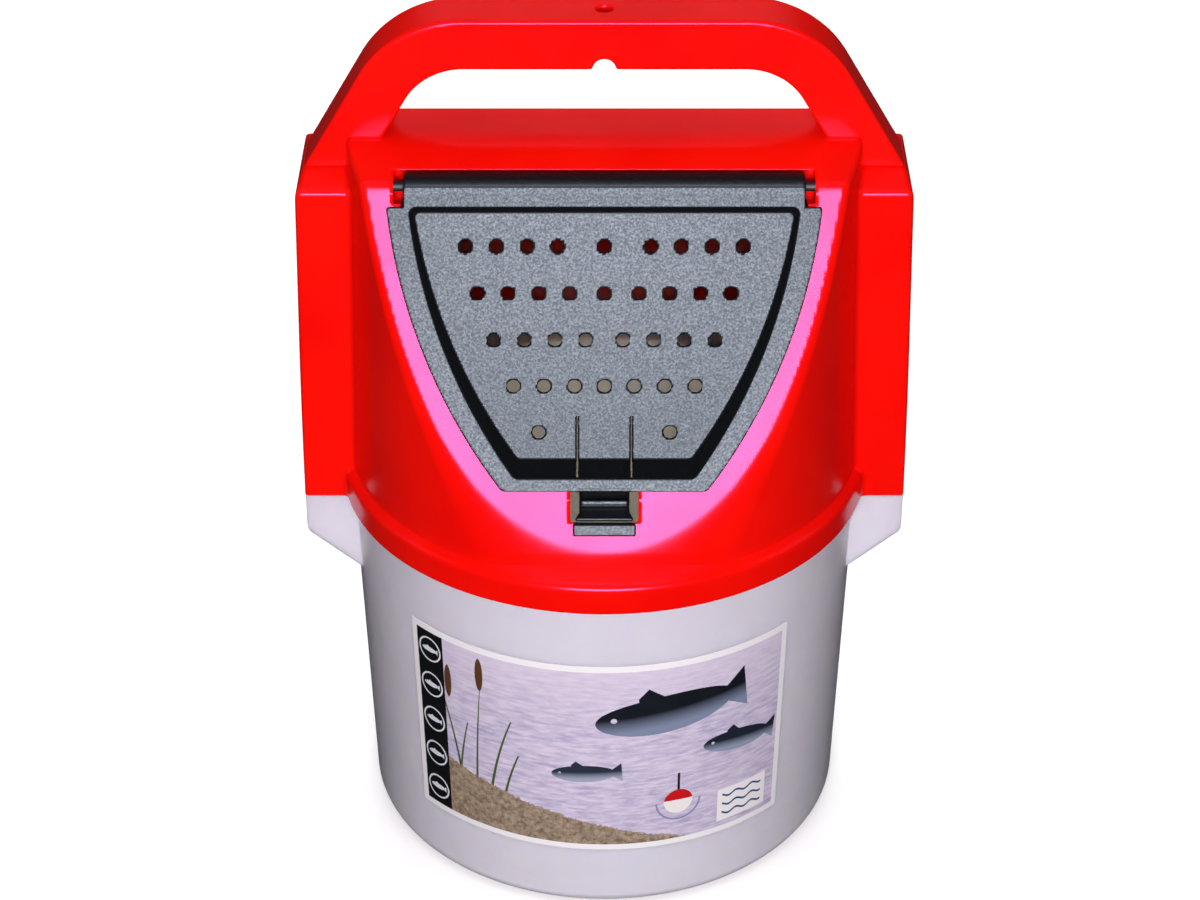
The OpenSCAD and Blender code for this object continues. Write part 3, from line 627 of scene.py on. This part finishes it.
def steepest(solid, places, h=0.02):
    """Which way a solid's function grows at each place."""
    change = [solid(*(places + step).T) - solid(*(places - step).T) for step in np.eye(3) * h]
    ways = np.stack(change, -1)
    return ways / np.maximum(np.linalg.norm(ways, axis=1, keepdims=True), 1e-9)


def crossing(solid, near, far, near_value, far_value):
    """Where the surface cuts each line from near to far."""
    for _ in range(3):
        t = (near_value / (near_value - far_value))[:, None]
        middle = near + (far - near) * t
        value = solid(*middle.T)
        same = (value < 0) == (near_value < 0)
        near, near_value = np.where(same[:, None], middle, near), np.where(same, value, near_value)
        far, far_value = np.where(same[:, None], far, middle), np.where(same, far_value, value)
    t = (near_value / np.where(near_value == far_value, 1, near_value - far_value))[:, None]
    return near + (far - near) * t


def best_points(where, number, points, ways, pull=0.08):
    """For each cell, the point that fits all the planes through its crossings, held near their middle."""
    def total(amounts):
        return np.bincount(where, weights=amounts, minlength=number)

    middle = np.stack([total(points[:, k]) for k in range(3)], 1) / total(np.ones(len(where)))[:, None]
    plane = (ways * points).sum(1)
    left = np.empty((number, 3, 3))
    right = np.empty((number, 3))
    for i in range(3):
        right[:, i] = total(ways[:, i] * plane) + pull * middle[:, i]
        for j in range(3):
            left[:, i, j] = total(ways[:, i] * ways[:, j]) + pull * (i == j)
    return np.linalg.solve(left, right[:, :, None])[:, :, 0]


ON_FRONT = np.array((
    (1, 0, 0),
    (0, math.cos(FRONT_ANGLE), -math.sin(FRONT_ANGLE)),
    (0, math.sin(FRONT_ANGLE), math.cos(FRONT_ANGLE)),
))


def moulded(name, solid, low, high, cell, on_front=False, crisp_below=-999.0):
    """The surface of a solid as a closed mesh with one point for each cell that it passes through.
    On the front, the solid is a function of x, the way up the flat front and the way out of it.
    Below a height, the shading at a sharp corner stays on its own side of the corner."""
    axes = [np.arange(math.floor(a / cell) - 1, math.ceil(b / cell) + 2) * cell for a, b in zip(low, high)]
    value = solid(*np.meshgrid(*axes, indexing="ij"))
    inside = value < 0
    start = np.array([axis[0] for axis in axes])
    cells = np.array(value.shape)
    unit = np.eye(3, dtype=int)

    owners, points, ways, loops = [], [], [], []
    for axis in range(3):
        behind = np.take(inside, range(cells[axis] - 1), axis)
        at = np.argwhere(np.take(inside, range(1, cells[axis]), axis) != behind)
        beyond = at + unit[axis]
        near_value, far_value = value[tuple(at.T)], value[tuple(beyond.T)]
        point = crossing(solid, start + at * cell, start + beyond * cell, near_value, far_value)
        way = steepest(solid, point)
        b, c = unit[(axis + 1) % 3], unit[(axis + 2) % 3]
        ring = [at - b - c, at - c, at, at - b]
        ids = np.stack([(r * (1, cells[0], cells[0] * cells[1])).sum(1) for r in ring], 1)
        outward = ~behind[tuple(at.T)]
        loops.append(np.where(outward[:, None], ids[:, ::-1], ids))
        for k in range(4):
            owners.append(ids[:, k])
            points.append(point)
            ways.append(way)
    loops = np.concatenate(loops)
    known, where = np.unique(np.concatenate(owners), return_inverse=True)
    place = best_points(where, len(known), np.concatenate(points), np.concatenate(ways))
    index = np.stack([known % cells[0], known // cells[0] % cells[1], known // (cells[0] * cells[1])], 1)
    corner = start + index * cell
    place = np.clip(place, corner, corner + cell)
    for _ in range(2):
        way = steepest(solid, place)
        place = place - np.clip(solid(*place.T), -0.3 * cell, 0.3 * cell)[:, None] * way

    faces = np.searchsorted(known, loops)
    facing = steepest(solid, place)[faces]
    crisp = np.argwhere(place[faces][:, :, 2].max(1) < crisp_below)[:, 0]
    if len(crisp):
        spots = place[faces[crisp]]
        inward = spots * 0.6 + spots.mean(1, keepdims=True) * 0.4
        own = steepest(solid, inward.reshape(-1, 3)).reshape(inward.shape)
        bent = (own * facing[crisp]).sum(2, keepdims=True) < math.cos(math.radians(14))
        facing[crisp] = np.where(bent, own, facing[crisp])
    if on_front:
        place, facing = place @ ON_FRONT.T + (0, -FRONT_Y, FRONT_Z), facing @ ON_FRONT.T

    mesh = bpy.data.meshes.new(name)
    mesh.vertices.add(len(place))
    mesh.vertices.foreach_set("co", (place * MM).ravel())
    mesh.loops.add(faces.size)
    mesh.loops.foreach_set("vertex_index", faces.ravel())
    mesh.polygons.add(len(faces))
    mesh.polygons.foreach_set("loop_start", np.arange(0, faces.size, 4))
    mesh.polygons.foreach_set("use_smooth", [True] * len(faces))
    mesh.update()
    mesh.validate()
    mesh.normals_split_custom_set(facing.reshape(-1, 3).tolist())
    return mesh


# Pieces


def add_piece(name, mesh, body, material, slot, *nodes):
    """Puts a mesh in the scene on a body, in the place of these nodes."""
    made = bpy.data.objects.new(name, mesh)
    bpy.context.scene.collection.objects.link(made)
    mesh.materials.append(material)
    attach(made, body)
    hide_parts(*nodes)


add_piece(
    "Red_Housing",
    moulded("Red_Housing", top_housing, (-131, -115, 165), (131, 115, 332.5), cell=1.37, crisp_below=195),
    "bucket", red, "red_polyethylene", "top_housing",
)
add_piece(
    "Carry_Handle",
    moulded("Carry_Handle", handle, (-125, -13, 299), (125, 13, 384), cell=1.2),
    "bucket", red, "red_polyethylene", "handle",
)
add_piece(
    "Perforated_Door",
    moulded("Perforated_Door", door_panel, (-89, 18, -14), (89, 157, 3), cell=0.74, on_front=True),
    "door", black, "black_polypropylene", "door_panel",
)
add_piece(
    "Snap_Latch",
    moulded("Snap_Latch", latch_lever, (-14, 6, -11), (14, 25, 3), cell=0.5, on_front=True),
    "latch", black, "black_polypropylene", "latch_lever",
)


# Floor, lights and camera


FLOOR_FRONT, FLOOR_BACK, FLOOR_SIDE, WALL_HEIGHT, WALL_BEND, BEND_STEPS = -9.0, 2.2, 9.0, 3.0, 1.0, 16


def stage_floor():
    """A plain pale floor of white acrylic, softly lit from below, that curves up into a wall far behind."""
    profile = [(FLOOR_FRONT, 0.0), (FLOOR_BACK - WALL_BEND, 0.0)]
    for step in range(1, BEND_STEPS + 1):
        turn = math.pi / 2 * step / BEND_STEPS
        behind = FLOOR_BACK - WALL_BEND + WALL_BEND * math.sin(turn)
        profile.append((behind, WALL_BEND - WALL_BEND * math.cos(turn)))
    profile.append((FLOOR_BACK, WALL_HEIGHT))
    points = [(side * FLOOR_SIDE, y, z) for y, z in profile for side in (-1, 1)]
    faces = [(2 * i, 2 * i + 1, 2 * i + 3, 2 * i + 2) for i in range(len(profile) - 1)]
    mesh = bpy.data.meshes.new("Studio_Floor")
    mesh.from_pydata(points, [], faces)
    mesh.polygons.foreach_set("use_smooth", [True] * len(faces))
    floor = bpy.data.objects.new("Studio_Floor", mesh)
    bpy.context.scene.collection.objects.link(floor)
    material, _ = new_material(
        "Lit_White_Acrylic", Base_Color=linear("#f4f4f4"), Roughness=0.9,
        Emission_Color=linear("#ffffff"), Emission_Strength=0.3,
    )
    mesh.materials.append(material)
    floor.location.z = -0.5 * MM
    floor.visible_glossy = False
    floor.visible_diffuse = False


def area_light(name, place, aim, size, power, colour="#ffffff", shine=True):
    """A soft box of this width and height in metres, turned to a place. Without shine, no gloss shows it."""
    light = bpy.data.lights.new(name, "AREA")
    light.shape = "RECTANGLE"
    light.size, light.size_y = size
    light.energy = power
    light.color = linear(colour)[:3]
    made = bpy.data.objects.new(name, light)
    bpy.context.scene.collection.objects.link(made)
    made.location = place
    made.rotation_mode = "QUATERNION"
    made.rotation_quaternion = (Vector(aim) - Vector(place)).to_track_quat("-Z", "Y")
    made.visible_camera = False
    made.visible_glossy = shine


def camera():
    """The photograph's view: 1.44 m away, 33 degrees down."""
    data = bpy.data.cameras.new("Camera")
    data.sensor_width = 36.0
    data.lens = 90.99
    data.shift_x = -0.0036
    data.shift_y = 0.0012
    data.clip_start = 0.05
    made = bpy.data.objects.new("Camera", data)
    bpy.context.scene.collection.objects.link(made)
    made.location = (0.0, -1.1246, 0.8995)
    made.rotation_euler = (math.radians(57.06), 0.0, 0.0)
    bpy.context.scene.camera = made


stage_floor()
area_light("Front_Softbox", (0.0, -1.55, 0.705), (0, -0.07, 0.2), (0.72, 0.56), 28, "#fff8ff")
area_light("Top_Softbox", (0.0, 0.1, 2.3), (0, 0, 0.2), (1.9, 1.9), 20, shine=False)
area_light("Edge_Strip", (0.0, -0.9, 2.0), (0, 0, 0.3), (1.4, 0.12), 1)
area_light("Ridge_Strip", (0.0, 1.5, 1.9), (0, 0, 0.33), (1.4, 0.08), 0.3)
area_light("Left_Softbox", (-2.0, -0.3, 1.0), (0, 0, 0.2), (1.0, 1.2), 0.9)
area_light("Right_Softbox", (2.0, -0.3, 1.0), (0, 0, 0.2), (1.0, 1.2), 0.9)
area_light("Back_Softbox", (0.0, 2.0, 1.0), (0, 0, 0.2), (1.6, 1.0), 38, shine=False)
world = bpy.data.worlds.new("Studio")
world.use_nodes = True
background = world.node_tree.nodes["Background"]
background.inputs["Color"].default_value = linear("#ffffff")
background.inputs["Strength"].default_value = 0.02
bpy.context.scene.world = world
camera()
bpy.context.scene.view_settings.view_transform = "Standard"
